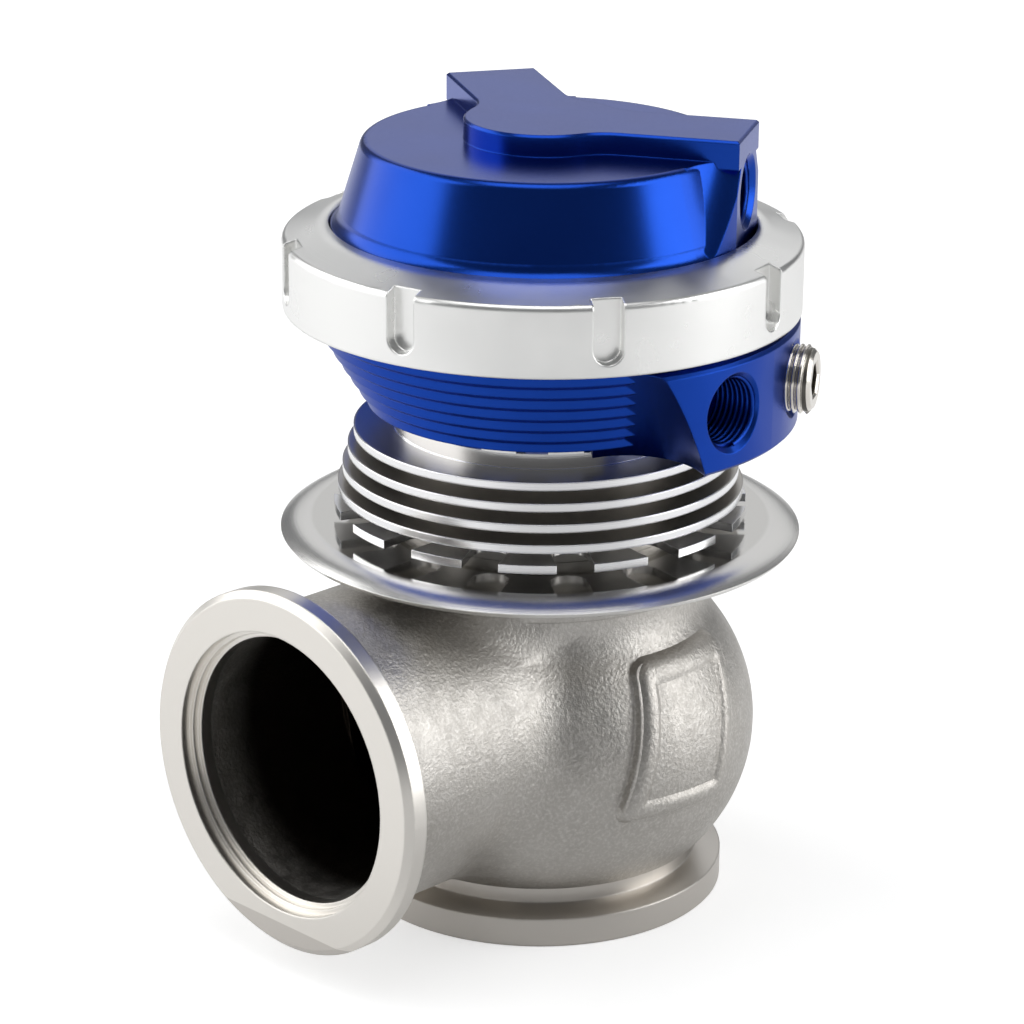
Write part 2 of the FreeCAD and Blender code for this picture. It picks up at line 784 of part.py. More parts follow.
def coil_spring(radius, wire):
    """A round-wire spring between the cup and the cap."""
    start = spring_seat + wire / 2
    height = cap_ceiling - wire / 2 - start
    path = Part.makeHelix(height / spring_turns, height, radius)
    path.translate(up * start)
    section = Part.makeCircle(wire / 2, FreeCAD.Vector(radius, 0, start), FreeCAD.Vector(0, 1, 0))
    return Part.Wire(path).makePipeShell([Part.Wire(section)], True, True)


def cap_outline():
    """The cap's outside: hidden flange, neck, flared foot, leaning wall and ledge."""
    foot = cap_bottom + cap_flange_height + cap_neck_rise
    ledge = cap_bottom + cap_ledge_height
    flare_top = foot + cap_flare_height
    lean = (cap_flare_radius - cap_shoulder_radius) / (ledge - flare_top)
    edge_low = (cap_shoulder_radius + lean * cap_ledge_round, ledge - cap_ledge_round)
    edge_high = (cap_shoulder_radius - cap_ledge_round, ledge)
    low = [(0, cap_bottom), (cap_flange_radius, cap_bottom), (cap_flange_radius, slip_bottom),
           (cap_neck_radius, slip_bottom), (cap_neck_radius, foot)]
    edges = [straight(a, b) for a, b in zip(low, low[1:])]
    edges.append(bent((cap_neck_radius, foot), (cap_flare_radius, flare_top), -cap_flare_sag))
    edges.append(straight((cap_flare_radius, flare_top), edge_low))
    edges.append(bent(edge_low, edge_high, round_sag))
    edges.append(straight(edge_high, (0, ledge)))
    edges.append(straight((0, ledge), (0, cap_bottom)))
    return edges


def arm_foot():
    """Where an arm runs down the cap's wall: part of a cylinder, run out by a round cutter."""
    bottom = cap_bottom + cap_flange_height + cap_neck_rise
    top = cap_bottom + cap_ledge_height
    flat_half = math.degrees(math.asin(arm_half_width / arm_end_radius))
    halves = []
    cutters = []
    for side in (-1, 1):
        cutter, low_angle, high_angle = slanted_cutter(
            arm_cutter, arm_end_radius, cap_flare_radius, cap_shoulder_radius, side * arm_foot_half_angle,
            side * flat_half, bottom, top, side)
        cutters.append(cutter)
        halves = [abs(low_angle), abs(high_angle)]
    block = ring(arm_end_radius, cap_cavity_radius, bottom, top)
    block = block.common(sector(0, halves[0], halves[1], bottom, top, arm_end_radius + past))
    for cutter in cutters:
        block = block.cut(cutter)
    return block


def arm_end_cutter(angle):
    """A block whose near face is the flat at an arm's end."""
    block = Part.makeBox(2 * past + cap_flange_radius - arm_length, 2 * arm_end_radius, cap_top_height,
                         FreeCAD.Vector(arm_length, -arm_end_radius, slip_bottom + arm_flat_rise))
    return spun(block, angle)


def grip():
    """The raised grip on the ledge: a round hub and two arms, blended together."""
    bottom = cap_bottom + cap_ledge_height - past
    height = cap_top_height - cap_ledge_height + past
    plan = disc(hub_top_radius, bottom, bottom + height)
    arm = Part.makeBox(arm_end_radius + past, 2 * arm_half_width, height,
                       FreeCAD.Vector(0, -arm_half_width, bottom))
    for angle in arm_angles:
        plan = plan.fuse(spun(arm, angle))
    plan = plan.removeSplitter()
    meet = math.sqrt(hub_top_radius ** 2 - arm_half_width ** 2)
    joins = []
    for edge in plan.Edges:
        reach = math.hypot(edge.CenterOfMass.x, edge.CenterOfMass.y)
        upright = edge.BoundBox.ZLength > height / 2
        if upright and abs(reach - math.hypot(meet, arm_half_width)) < near:
            joins.append(edge)
    plan = plan.makeFillet(arm_blend, joins).common(disc(arm_end_radius, bottom, bottom + height))
    for angle in arm_angles:
        plan = plan.cut(arm_end_cutter(angle))
    top_edges = [edge for edge in plan.Edges if edge.BoundBox.ZMin > bottom + height - near]
    return plan.makeChamfer(grip_edge, top_edges)


def cap():
    body = turned_edges(cap_outline())
    foot = arm_foot()
    for angle in arm_angles:
        body = body.fuse(spun(foot, angle))
    body = body.fuse(grip())
    for angle in arm_angles:
        body = body.cut(arm_end_cutter(angle))
    body = body.cut(disc(cap_cavity_radius, cap_bottom - past, cap_ceiling))
    body = body.cut(disc(cap_roll_radius, cap_bottom - past, cap_bottom + cap_roll_height))
    for angle in arm_angles:
        body = body.cut(port_hole(cap_port_radius, arm_length, arm_length - cap_cavity_radius + past,
                                  cap_bottom + cap_port_height, angle))
    return body.removeSplitter()


def slip_ring():
    """The thin ring that lets the collar turn without dragging the cap."""
    return ring(slip_ring_radius, slip_ring_inner, slip_bottom, lip_bottom)


def collar_slot():
    """One spanner slot, open at the top and round at the foot."""
    floor_radius = collar_radius - slot_depth
    start = collar_low + slot_bottom + slot_width / 2
    depth = slot_depth + past
    block = Part.makeBox(depth, slot_width, collar_height,
                         FreeCAD.Vector(floor_radius, -slot_width / 2, start))
    foot = round_bar(FreeCAD.Vector(floor_radius, 0, start), FreeCAD.Vector(1, 0, 0), slot_width / 2,
                     depth)
    return block.fuse(foot)


def locking_collar():
    """Threads onto the housing's rim and clamps the cap down through its lip."""
    shoulder = collar_low + collar_wall_height
    top_edge = (collar_radius - collar_round_out, shoulder + collar_round_up)
    outline = [(collar_radius, shoulder), (collar_radius, collar_low), (collar_bore_radius, collar_low),
               (collar_bore_radius, lip_bottom), (collar_hole_radius, lip_bottom),
               (collar_hole_radius, collar_low + collar_height), top_edge]
    edges = [straight(a, b) for a, b in zip(outline, outline[1:])]
    edges.append(bent((collar_radius, shoulder), top_edge, round_sag))
    body = turned_edges(edges)
    return body.cut(Part.makeCompound(pattern(collar_slot(), slot_count, slot_angle)))


def main():
    os.makedirs("parts", exist_ok=True)
    save("valve_body", valve_body())
    save("valve_seat", valve_seat())
    save("poppet_valve", poppet_valve())
    save("valve_guide", valve_guide())
    save("stem_scraper", stem_scraper())
    save("shield_gasket", shield_gasket())
    save("heat_shield", heat_shield())
    save("heatsink", heatsink())
    save("heatsink_screws", heatsink_screws())
    save("housing_o_ring", housing_o_ring())
    save("stem_bushing", stem_bushing())
    save("stem_seal", stem_seal())
    save("seal_retainer", seal_retainer())
    save("lower_housing", lower_housing())
    save("housing_screws", housing_screws())
    ports = housing_port_angles()
    fit_radius = port_radius - plug_clearance
    save("boost_port_plug",
         port_plug(fit_radius, plug_length, boss_radius + plug_out, port_level, ports[1]))
    rear_outer = boss_radius - plug_sunk
    save("rear_port_plugs",
         [port_plug(fit_radius, plug_length, rear_outer, port_level, angle) for angle in ports[2:]])
    save("diaphragm", diaphragm())
    save("lower_plate", lower_plate())
    save("piston_cup", piston_cup())
    save("stem_washer", stem_washer())
    save("stem_nut", stem_nut())
    for step, name in enumerate(("outer_spring", "middle_spring", "inner_spring")):
        save(name, coil_spring(spring_radius - step * spring_step, spring_wire - step * spring_wire_step))
    save("cap", cap())
    cap_plug_length = arm_length - cap_cavity_radius - plug_sunk
    save("cap_port_plug",
         port_plug(cap_port_radius - plug_clearance, cap_plug_length, arm_length - plug_sunk,
                   cap_bottom + cap_port_height, arm_angles[1]))
    save("slip_ring", slip_ring())
    save("locking_collar", locking_collar())


main()
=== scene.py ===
import bmesh
import bpy
import math
from mathutils import Matrix, Vector
from mathutils.bvhtree import BVHTree


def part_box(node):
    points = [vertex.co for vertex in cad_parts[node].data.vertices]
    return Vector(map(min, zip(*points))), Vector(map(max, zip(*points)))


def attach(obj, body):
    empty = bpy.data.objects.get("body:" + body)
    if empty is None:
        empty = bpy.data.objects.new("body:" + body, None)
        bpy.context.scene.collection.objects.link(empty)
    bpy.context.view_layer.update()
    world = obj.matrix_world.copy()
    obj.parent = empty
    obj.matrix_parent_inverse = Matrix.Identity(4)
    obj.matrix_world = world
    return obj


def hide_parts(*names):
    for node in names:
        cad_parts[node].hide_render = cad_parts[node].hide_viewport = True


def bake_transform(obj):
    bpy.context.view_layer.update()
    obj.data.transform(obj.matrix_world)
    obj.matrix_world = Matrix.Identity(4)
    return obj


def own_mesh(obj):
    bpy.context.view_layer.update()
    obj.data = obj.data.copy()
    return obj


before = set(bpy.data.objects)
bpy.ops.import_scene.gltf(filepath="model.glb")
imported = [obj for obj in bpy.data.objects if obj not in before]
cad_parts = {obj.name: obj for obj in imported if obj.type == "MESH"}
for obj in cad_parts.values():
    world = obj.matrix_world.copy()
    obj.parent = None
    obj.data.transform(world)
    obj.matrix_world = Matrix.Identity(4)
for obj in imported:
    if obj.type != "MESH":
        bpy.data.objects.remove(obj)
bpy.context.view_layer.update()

# Camera: a long lens that looks slightly down on the outlet side. Its place, its turn and the
# lens were fitted to the round edges of the rims, the shield, the collar and the cap.
camera_place = Vector((0.371484, -0.380660, 0.249854))
camera_right = Vector((0.70814, 0.70603, 0.00769))
camera_up = Vector((-0.24400, 0.23448, 0.94100))
camera_data = bpy.data.cameras.new("camera")
camera_data.sensor_width = 36.0
camera_data.lens = 131.78
camera_data.clip_start = 0.01
camera = bpy.data.objects.new("camera", camera_data)
bpy.context.scene.collection.objects.link(camera)
turn = Matrix((camera_right, camera_up, camera_right.cross(camera_up))).transposed()
camera.matrix_world = Matrix.Translation(camera_place) @ turn.to_4x4()
bpy.context.scene.camera = camera


# Studio: a wide box of light on the left side, a narrower one on the right side, one overhead
# and one behind, in a dim room with a white backdrop.
bpy.context.scene.view_settings.view_transform = "Standard"
light_aim = Vector((0.0, 0.0, 0.06))


def light_box(name, azimuth, elevation, distance, width, height, power):
    """A rectangular lamp that faces the part; angles in degrees, sizes in metres, power in watts."""
    data = bpy.data.lights.new(name, "AREA")
    data.shape = "RECTANGLE"
    data.size = width
    data.size_y = height
    data.energy = power
    lamp = bpy.data.objects.new(name, data)
    bpy.context.scene.collection.objects.link(lamp)
    a, e = math.radians(azimuth), math.radians(elevation)
    way = Vector((math.cos(e) * math.cos(a), math.cos(e) * math.sin(a), math.sin(e)))
    lamp.location = light_aim + way * distance
    lamp.rotation_euler = way.to_track_quat("Z", "Y").to_euler()


light_box("left_light", azimuth=-143.0, elevation=26.0, distance=1.1, width=1.5, height=1.1, power=10.0)
light_box("right_light", azimuth=37.0, elevation=20.0, distance=1.1, width=0.75, height=1.1, power=7.0)
light_box("back_light", azimuth=128.0, elevation=30.0, distance=1.3, width=1.2, height=0.9, power=2.1)
light_box("top_light", azimuth=-60.0, elevation=80.0, distance=1.2, width=0.9, height=0.9, power=4.5)

room_light, backdrop_light = 0.17, 1.1
world = bpy.data.worlds.new("studio")
bpy.context.scene.world = world
world.use_nodes = True
room = world.node_tree
room.nodes["Background"].inputs["Color"].default_value = (0.95, 0.97, 1.0, 1.0)
seen_straight = room.nodes.new("ShaderNodeLightPath")
room_strength = room.nodes.new("ShaderNodeMapRange")
room.links.new(seen_straight.outputs["Is Camera Ray"], room_strength.inputs["Value"])
room_strength.inputs["To Min"].default_value = room_light
room_strength.inputs["To Max"].default_value = backdrop_light
room.links.new(room_strength.outputs["Result"], room.nodes["Background"].inputs["Strength"])


# Floor: a plain pale sheet with a painted shadow, a little darker close to the part. It glows for the
# camera and, away from the part's foot, for the bright metal that mirrors it, as a painted reflection.
def math_node(tree, operation, *values):
    """A Math node whose inputs are numbers or sockets; gives its output."""
    node = tree.nodes.new("ShaderNodeMath")
    node.operation = operation
    for slot, value in zip(node.inputs, values):
        if isinstance(value, (int, float)):
            slot.default_value = value
        else:
            tree.links.new(value, slot)
    return node.outputs["Value"]


def smooth_step(tree, value, low, high):
    """0 below low and 1 above high, with a smooth rise between."""
    node = tree.nodes.new("ShaderNodeMapRange")
    node.interpolation_type = "SMOOTHSTEP"
    tree.links.new(value, node.inputs["Value"])
    node.inputs["From Min"].default_value = low
    node.inputs["From Max"].default_value = high
    return node.outputs["Result"]


floor_half = 3.0
floor_grey = 0.7
shade_middle = (0.13, -0.085, 0.0)
near_glow, far_glow = 0.55, 0.6
painted_reflection_glow = 0.30
floor_mesh = bpy.data.meshes.new("floor")
floor_mesh.from_pydata([(-floor_half, -floor_half, 0), (floor_half, -floor_half, 0),
                        (floor_half, floor_half, 0), (-floor_half, floor_half, 0)], [], [(0, 1, 2, 3)])
floor = bpy.data.objects.new("floor", floor_mesh)
bpy.context.scene.collection.objects.link(floor)
floor_paint = bpy.data.materials.new("floor_paint")
floor_paint.use_nodes = True
floor_tree = floor_paint.node_tree
floor_shader = floor_tree.nodes["Principled BSDF"]
floor_shader.inputs["Base Color"].default_value = (floor_grey, floor_grey, floor_grey, 1.0)
floor_shader.inputs["Roughness"].default_value = 0.9
floor_shader.inputs["Emission Color"].default_value = (1.0, 1.0, 1.0, 1.0)
floor_seen = floor_tree.nodes.new("ShaderNodeLightPath")
floor_place = floor_tree.nodes.new("ShaderNodeTexCoord")
floor_reach = floor_tree.nodes.new("ShaderNodeVectorMath")
floor_reach.operation = "DISTANCE"
floor_reach.inputs[1].default_value = shade_middle
floor_tree.links.new(floor_place.outputs["Object"], floor_reach.inputs[0])
reach = floor_reach.outputs["Value"]
# Painted reflection: a glow seen only in the metal's reflections. Painted shadow: less glow near the part.
floor_painted_reflection = math_node(floor_tree, "MULTIPLY", smooth_step(floor_tree, reach, 0.08, 0.17), painted_reflection_glow)
seen_floor_painted_shadow = math_node(floor_tree, "MULTIPLY_ADD", smooth_step(floor_tree, reach, 0.4, 1.6), far_glow,
                       near_glow)
floor_glow = math_node(floor_tree, "ADD",
                       math_node(floor_tree, "MULTIPLY", floor_seen.outputs["Is Camera Ray"], seen_floor_painted_shadow),
                       math_node(floor_tree, "MULTIPLY", floor_seen.outputs["Is Glossy Ray"], floor_painted_reflection))
floor_tree.links.new(floor_glow, floor_shader.inputs["Emission Strength"])
floor_mesh.materials.append(floor_paint)


# Valve body: one stainless casting, blasted to a fine warm-grey grain, with painted shade near black
# inside. The two clamp rims and their recesses are turned, so they are brighter and carry fine tool rings.
def fall_off(tree, value, low, high):
    """1 below low and 0 above high, with a smooth fall between."""
    return math_node(tree, "SUBTRACT", 1.0, smooth_step(tree, value, low, high))


def length_node(tree, first, second):
    """The length of a step whose two sides are given."""
    square = math_node(tree, "ADD", math_node(tree, "MULTIPLY", first, first),
                       math_node(tree, "MULTIPLY", second, second))
    return math_node(tree, "SQRT", square)


def colour_mix(tree, factor, first, second):
    """A colour that runs from first to second; each is a colour or a socket."""
    node = tree.nodes.new("ShaderNodeMix")
    node.data_type = "RGBA"
    tree.links.new(factor, node.inputs["Factor"])
    for slot, value in ((node.inputs[6], first), (node.inputs[7], second)):
        if isinstance(value, tuple):
            slot.default_value = (*value, 1.0)
        else:
            tree.links.new(value, slot)
    return node.outputs[2]


def value_mix(tree, factor, first, second):
    """A number that runs from first to second; each is a number or a socket."""
    node = tree.nodes.new("ShaderNodeMix")
    tree.links.new(factor, node.inputs["Factor"])
    for slot, value in ((node.inputs["A"], first), (node.inputs["B"], second)):
        if isinstance(value, (int, float)):
            slot.default_value = value
        else:
            tree.links.new(value, slot)
    return node.outputs["Result"]


def noise(tree, coordinate, scale, detail=2.0, roughness=0.5):
    """Uneven patches from 0 to 1, scale of them to the metre."""
    node = tree.nodes.new("ShaderNodeTexNoise")
    tree.links.new(coordinate, node.inputs["Vector"])
    node.inputs["Scale"].default_value = scale
    node.inputs["Detail"].default_value = detail
    node.inputs["Roughness"].default_value = roughness
    return node.outputs["Fac"]


def axes(tree, vector):
    """The three parts of a vector."""
    parts = tree.nodes.new("ShaderNodeSeparateXYZ")
    tree.links.new(vector, parts.inputs["Vector"])
    return parts.outputs["X"], parts.outputs["Y"], parts.outputs["Z"]


def tool_ring_group():
    """Fine rings left by a turning tool, about an axis along Z of the given coordinates."""
    tree = bpy.data.node_groups.new("tool_rings", "ShaderNodeTree")
    tree.interface.new_socket(name="Vector", in_out="INPUT", socket_type="NodeSocketVector")
    tree.interface.new_socket(name="Rings per metre", in_out="INPUT", socket_type="NodeSocketFloat")
    tree.interface.new_socket(name="Unevenness", in_out="INPUT", socket_type="NodeSocketFloat")
    tree.interface.new_socket(name="Height", in_out="OUTPUT", socket_type="NodeSocketFloat")
    start = tree.nodes.new("NodeGroupInput")
    end = tree.nodes.new("NodeGroupOutput")
    x, y, z = axes(tree, start.outputs["Vector"])
    per_metre = start.outputs["Rings per metre"]
    place = tree.nodes.new("ShaderNodeCombineXYZ")
    tree.links.new(math_node(tree, "MULTIPLY", length_node(tree, x, y), per_metre), place.inputs["X"])
    tree.links.new(math_node(tree, "MULTIPLY", z, per_metre), place.inputs["Y"])
    grain = noise(tree, place.outputs["Vector"], 1.0, 3.0, 0.6)
    tree.links.new(math_node(tree, "MULTIPLY", grain, start.outputs["Unevenness"]), end.inputs["Height"])
    return tree


tool_rings = tool_ring_group()


def tool_marks(tree, place, rings_per_metre, unevenness=0.5):
    """The height of the turning rings, for a bump."""
    rings = tree.nodes.new("ShaderNodeGroup")
    rings.node_tree = tool_rings
    tree.links.new(place, rings.inputs["Vector"])
    rings.inputs["Rings per metre"].default_value = rings_per_metre
    rings.inputs["Unevenness"].default_value = unevenness
    return rings.outputs["Height"]


def new_material(name, base, roughness, metallic=1.0):
    """A Principled material with its plain values on the shader's own sockets."""
    material = bpy.data.materials.new(name)
    material.use_nodes = True
    shader = material.node_tree.nodes["Principled BSDF"]
    shader.inputs["Base Color"].default_value = (*base, 1.0)
    shader.inputs["Roughness"].default_value = roughness
    shader.inputs["Metallic"].default_value = metallic
    return material, material.node_tree, shader


def object_place(tree):
    """The place on the piece in metres."""
    return tree.nodes.new("ShaderNodeTexCoord").outputs["Object"]


def round_edges(tree, radius, samples=4):
    """A normal that rounds sharp edges, for light to catch on; radius is a number or a socket."""
    bevel = tree.nodes.new("ShaderNodeBevel")
    bevel.samples = samples
    if isinstance(radius, float):
        bevel.inputs["Radius"].default_value = radius
    else:
        tree.links.new(radius, bevel.inputs["Radius"])
    return bevel.outputs["Normal"]


def bump(tree, height, distance, strength=1.0, normal=None):
    """A normal disturbed by a height, over a given normal where there is one."""
    node = tree.nodes.new("ShaderNodeBump")
    node.inputs["Distance"].default_value = distance
    node.inputs["Strength"].default_value = strength
    tree.links.new(height, node.inputs["Height"])
    if normal is not None:
        tree.links.new(normal, node.inputs["Normal"])
    return node.outputs["Normal"]


def dress(node, material):
    """Give a carried-over solid its material."""
    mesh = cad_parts[node].data
    mesh.materials.clear()
    mesh.materials.append(material)


rim_top = 0.0084
outlet_rim_back = 0.0488
turned_edge = 0.0002
outlet_axis = 0.0317
tube_wall = 0.0203
tube_shade_start, tube_shade_full = -0.0475, -0.0400
tube_root, root_edge = -0.0224, 0.0009
bulb_spine, bulb_middle = 0.007, 0.0263
bulb_wall = 0.0234


def cast_steel():
    """Blasted casting skin, turned rims, and painted shade, near black, on the inner walls of the tube and
    the bulb.
    """
    material, tree, shader = new_material("cast_stainless", (0.54, 0.52, 0.49), 0.5)
    cast_dark, cast_light, cast_speck = (0.46, 0.44, 0.41), (0.54, 0.52, 0.49), (0.64, 0.62, 0.59)
    outlet_rim_lit, inlet_rim_shaded, painted_inner_shade = (0.82, 0.79, 0.74), (0.62, 0.59, 0.55), (0.045, 0.036, 0.028)
    place = object_place(tree)
    x, y, z = axes(tree, place)
    inlet_turned = fall_off(tree, z, rim_top - turned_edge, rim_top)
    outlet_turned = smooth_step(tree, math_node(tree, "MULTIPLY", y, -1.0), outlet_rim_back - turned_edge,
                                outlet_rim_back)
    turned = math_node(tree, "MAXIMUM", inlet_turned, outlet_turned)
    grain = noise(tree, place, 1900.0, 3.0, 0.6)
    lumps = noise(tree, place, 330.0, 4.0, 0.6)
    clouds = noise(tree, place, 45.0, 3.0, 0.5)
    cast_skin = colour_mix(tree, smooth_step(tree, clouds, 0.35, 0.65), cast_dark, cast_light)
    speckled = colour_mix(tree, smooth_step(tree, grain, 0.4, 0.8), cast_skin, cast_speck)
    # The two rims are one turned steel, lit and shaded: the inlet rim by the floor is painted darker as
    # shade.
    machined = colour_mix(tree, inlet_turned, outlet_rim_lit, inlet_rim_shaded)
    metal = colour_mix(tree, turned, speckled, machined)

    # Painted shade: the inner walls of the tube and the bulb are painted near black, where shade falls.
    along_tube = math_node(tree, "SUBTRACT", smooth_step(tree, y, tube_shade_start, tube_shade_full),
                           smooth_step(tree, y, tube_root, tube_root + root_edge))
    off_axis = length_node(tree, x, math_node(tree, "SUBTRACT", z, outlet_axis))
    in_tube = math_node(tree, "MULTIPLY", along_tube, fall_off(tree, off_axis, tube_wall, tube_wall + 0.0003))
    off_spine = length_node(tree, math_node(tree, "SUBTRACT", length_node(tree, x, y), bulb_spine),
                            math_node(tree, "SUBTRACT", z, bulb_middle))
    in_bulb = fall_off(tree, off_spine, bulb_wall, bulb_wall + 0.0006)
    inner_shade_mask = math_node(tree, "MAXIMUM", in_tube, in_bulb)
    tree.links.new(colour_mix(tree, inner_shade_mask, metal, painted_inner_shade), shader.inputs["Base Color"])

    cast_gloss = value_mix(tree, smooth_step(tree, lumps, 0.3, 0.7), 0.38, 0.50)
    tree.links.new(value_mix(tree, turned, cast_gloss, 0.33), shader.inputs["Roughness"])
    rounded = round_edges(tree, 0.0004)
    skin = math_node(tree, "ADD", lumps, math_node(tree, "MULTIPLY", grain, 0.9))
    pick = tree.nodes.new("ShaderNodeMix")
    pick.data_type = "VECTOR"
    tree.links.new(turned, pick.inputs["Factor"])
    tree.links.new(bump(tree, skin, 0.00016, 0.8, rounded), pick.inputs[4])
    tree.links.new(bump(tree, tool_marks(tree, place, 9000.0), 0.00002, 0.6, rounded), pick.inputs[5])
    tree.links.new(pick.outputs[1], shader.inputs["Normal"])
    return material


casting_steel = cast_steel()
dress("valve_body", casting_steel)


# Pad on the casting: a raised plate cast on the bulb, with rounded edges, a plain border and a
# slightly lower field. It is of the same steel and in one with the bulb, and leans over sideways.
pad_across, pad_level = -0.0012, 0.0325
pad_width, pad_tall, pad_slant = 0.0201, 0.0232, 0.0072
pad_margin, pad_steps = 0.001, 64
pad_corner, pad_rise, pad_proud = 0.0030, 0.0022, 0.0019
border_width, border_fall, field_drop = 0.0030, 0.0012, 0.0006
pad_sunk, pad_root = 0.0003, 0.0012
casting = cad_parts["valve_body"].data
casting_faces = BVHTree.FromPolygons([corner.co for corner in casting.vertices],
                                     [tuple(face.vertices) for face in casting.polygons])


def bulb_reach(height):
    """The bulb's radius at a height, read where its back is plain."""
    return casting_faces.ray_cast(Vector((0, 0.1, height)), Vector((0, -1, 0)))[0].y


def pad_height(side, rise):
    """How far the pad stands off the bulb, from the distance to its outline: a rounded edge, a
    raised border and a slightly lower field."""
    across = abs(side) - (pad_width / 2 - pad_corner)
    along = abs(rise) - (pad_tall / 2 - pad_corner)
    outside = math.hypot(max(across, 0.0), max(along, 0.0)) + min(max(across, along), 0.0) - pad_corner
    edge = min(max(-outside / pad_rise, 0.0), 1.0)
    inner = min(max((-outside - border_width) / border_fall, 0.0), 1.0)
    lift = pad_proud * math.sin(edge * math.pi / 2) ** 0.8 if edge > 0 else 0.0
    return lift - field_drop * inner * inner * (3 - 2 * inner) - pad_sunk


def raised_pad():
    """The pad as a closed shell: its outer skin over the bulb, and an inner skin sunk in the wall."""
    shape = bmesh.new()
    outer, inner = [], []
    probe = 0.0004
    for row in range(pad_steps + 1):
        rise = (row / pad_steps - 0.5) * (pad_tall + pad_margin)
        for column in range(pad_steps + 1):
            side = (column / pad_steps - 0.5) * (pad_width + pad_margin)
            y = pad_across + side + pad_slant * rise / pad_tall
            z = pad_level + rise
            reach = bulb_reach(z)
            x = math.sqrt(reach ** 2 - y ** 2)
            slope = (bulb_reach(z + probe) - bulb_reach(z - probe)) / (2 * probe)
            away = Vector((x, y, -slope * reach)).normalized()
            foot = Vector((x, y, z))
            outer.append(shape.verts.new(foot + away * pad_height(side, rise)))
            inner.append(shape.verts.new(foot - away * pad_root))
    width = pad_steps + 1
    for row in range(pad_steps):
        for column in range(pad_steps):
            a = row * width + column
            corners = (a, a + 1, a + 1 + width, a + width)
            shape.faces.new([outer[i] for i in corners])
            shape.faces.new([inner[i] for i in reversed(corners)])
    border = ([i for i in range(width)] + [i * width + pad_steps for i in range(1, width)]
              + [pad_steps * width + i for i in range(pad_steps - 1, -1, -1)]
              + [i * width for i in range(pad_steps - 1, 0, -1)])
    for a, b in zip(border, border[1:] + border[:1]):
        shape.faces.new([outer[b], outer[a], inner[a], inner[b]])
    bmesh.ops.recalc_face_normals(shape, faces=shape.faces)
    mesh = bpy.data.meshes.new("casting_pad")
    shape.to_mesh(mesh)
    shape.free()
    mesh.materials.append(casting_steel)
    mesh.shade_smooth()
    return mesh


def place_piece(name, mesh, body, transform=Matrix.Identity(4)):
    """Put a finished mesh in the scene, at its place, riding on a body where one is named."""
    mesh.transform(transform)
    mesh.name = name
    piece = bpy.data.objects.new(name, mesh)
    bpy.context.scene.collection.objects.link(piece)
    if body:
        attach(piece, body)
    return piece


place_piece("casting_pad", raised_pad(), "wastegate")


# Seat, valve, guide and scraper: the hot inner parts. The seat and valve are ground, the guide
# is bronze pressed into the casting's boss, and the scraper keeps soot off the stem.
def ground_metal(name, base, roughness, rings_per_metre=6000.0, depth=0.00002, edge=0.00025):
    """Turned or ground metal: fine rings about the valve axis, rounded edges, uneven gloss."""
    material, tree, shader = new_material(name, base, roughness)
    place = object_place(tree)
    clouds = smooth_step(tree, noise(tree, place, 120.0, 3.0, 0.5), 0.3, 0.7)
    tree.links.new(value_mix(tree, clouds, roughness * 0.85, roughness * 1.15), shader.inputs["Roughness"])
    marks = tool_marks(tree, place, rings_per_metre, 1.0)
    tree.links.new(bump(tree, marks, depth, 0.6, round_edges(tree, edge)), shader.inputs["Normal"])
    return material


dress("valve_seat", ground_metal("seat_alloy", (0.55, 0.54, 0.52), 0.25))
dress("poppet_valve", ground_metal("valve_alloy", (0.50, 0.48, 0.46), 0.28))
bronze = ground_metal("bronze", (0.62, 0.45, 0.22), 0.3)
dress("valve_guide", bronze)
plain_steel = ground_metal("fastener_steel", (0.30, 0.30, 0.31), 0.35)
dress("stem_scraper", plain_steel)


# Gasket and heat shield: a pressed steel ring, and a spun stainless disc whose floor is polished
# to a mirror and whose curled lip is brushed round to a satin.
dress("shield_gasket", ground_metal("gasket_steel", (0.40, 0.40, 0.41), 0.4))
lip_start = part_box("heat_shield")[1].x - 0.0046
lip_edge = 0.0004


def shield_steel():
    """Mirror floor and satin lip, told apart by their distance from the axis."""
    material, tree, shader = new_material("shield_stainless", (0.80, 0.79, 0.77), 0.12)
    floor_colour, lip_colour = (0.64, 0.63, 0.61), (0.80, 0.79, 0.77)
    place = object_place(tree)
    x, y = axes(tree, place)[:2]
    lip = smooth_step(tree, length_node(tree, x, y), lip_start - lip_edge, lip_start + lip_edge)
    tree.links.new(value_mix(tree, lip, 0.10, 0.27), shader.inputs["Roughness"])
    tree.links.new(colour_mix(tree, lip, floor_colour, lip_colour), shader.inputs["Base Color"])
    marks = math_node(tree, "MULTIPLY", tool_marks(tree, place, 7000.0), value_mix(tree, lip, 0.15, 1.0))
    tree.links.new(bump(tree, marks, 0.00003, 0.7, round_edges(tree, 0.0002)), shader.inputs["Normal"])
    return material


dress("heat_shield", shield_steel())


# Heatsink: turned from one aluminium bar and polished, with its lowest fin cut into tabs. The
# fins' rims and the notched neck are bright; the walls between the fins are rougher, with painted
# shade that makes them darker.
hub_radius = 0.022
neck_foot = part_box("heatsink")[1].z - 0.0039
tab_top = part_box("heatsink")[0].z + 0.0029


